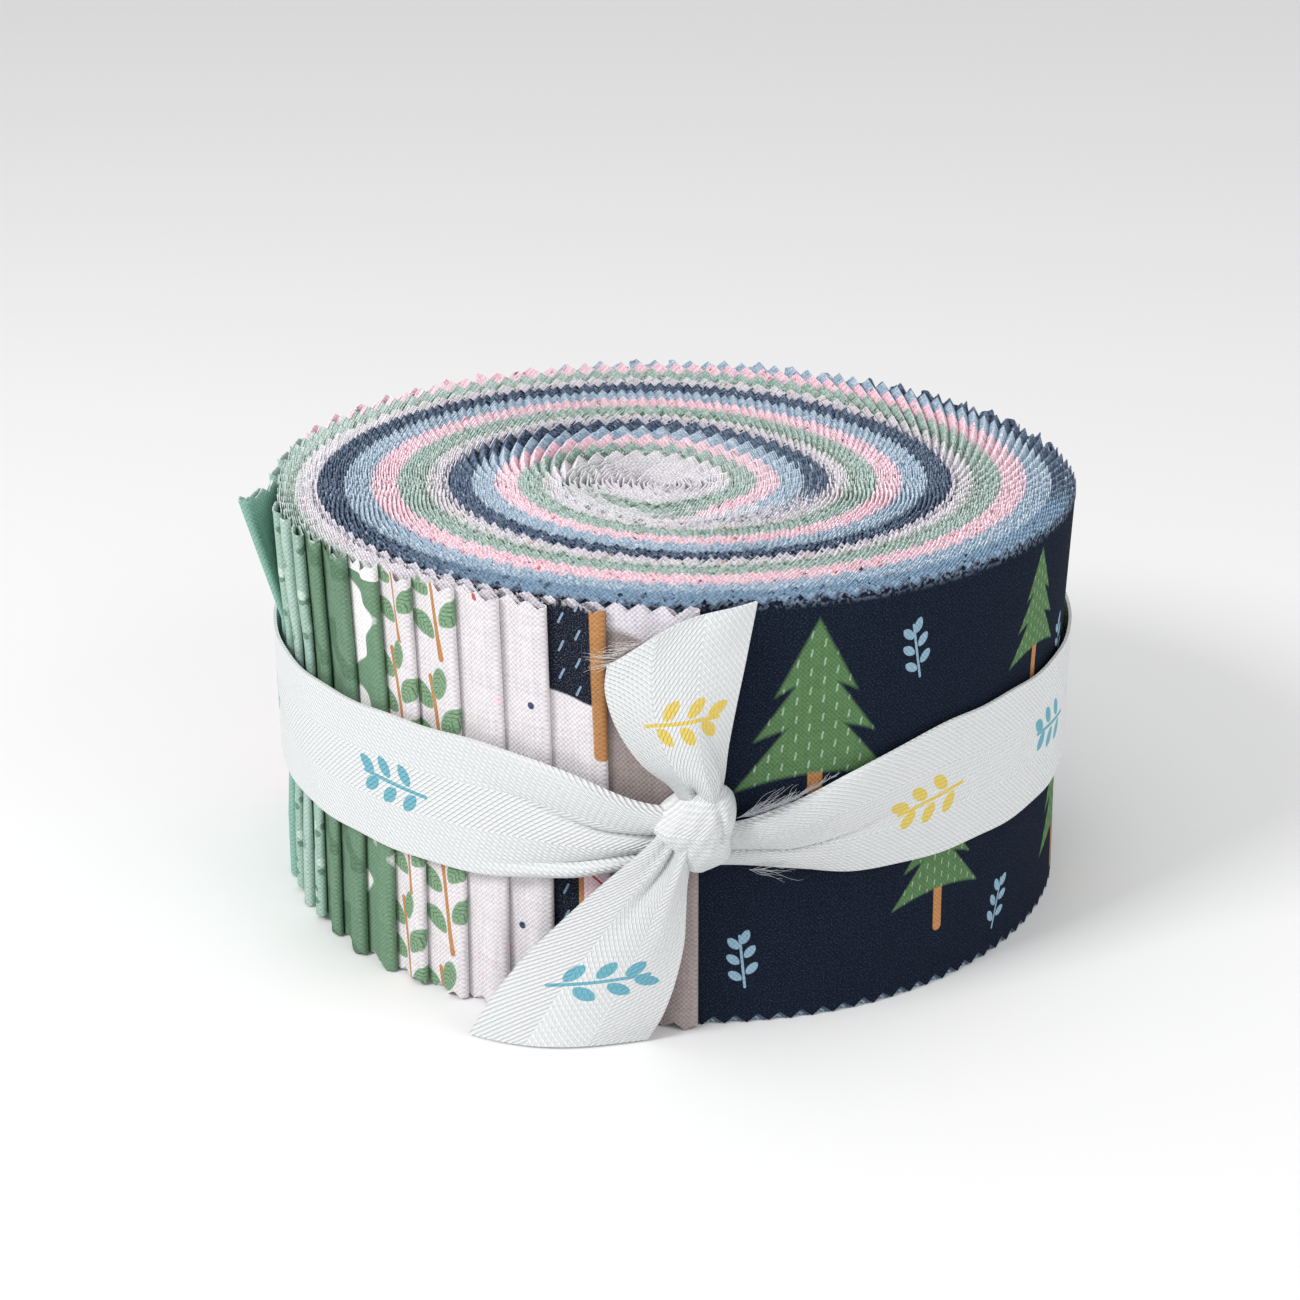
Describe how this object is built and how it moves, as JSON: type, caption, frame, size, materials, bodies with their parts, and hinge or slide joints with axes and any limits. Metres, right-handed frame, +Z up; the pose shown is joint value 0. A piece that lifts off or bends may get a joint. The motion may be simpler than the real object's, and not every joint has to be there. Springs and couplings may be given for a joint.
{
  "type": "rolled bundle of folded fabric strips tied with a tape",
  "caption": "Folded cotton quilting strips with pinked edges, wound on edge into a flat round roll and tied round the middle with a knotted white twill tape",
  "frame": {"origin": "on the floor under the middle of the roll's rim", "axes": "+Z up along the winding axis, the tape's knot at -Y, +X to the right of someone who faces the knot"},
  "size_m": [0.1253, 0.1296, 0.0637],
  "materials": {
    "cotton": "plain woven printed cotton in navy, light blue, pink, sage and white, pinked edges",
    "sage_cotton": "plain woven sage green cotton",
    "twill_tape": "white herringbone twill tape with a small printed ornament"
  },
  "bodies": {
    "root": {"fabric_roll": "cotton", "loose_end": "sage_cotton", "tape_band": "twill_tape", "tape_knot": "twill_tape", "tape_tail_upper": "twill_tape", "tape_tail_lower": "twill_tape"}
  },
  "joints": []
}
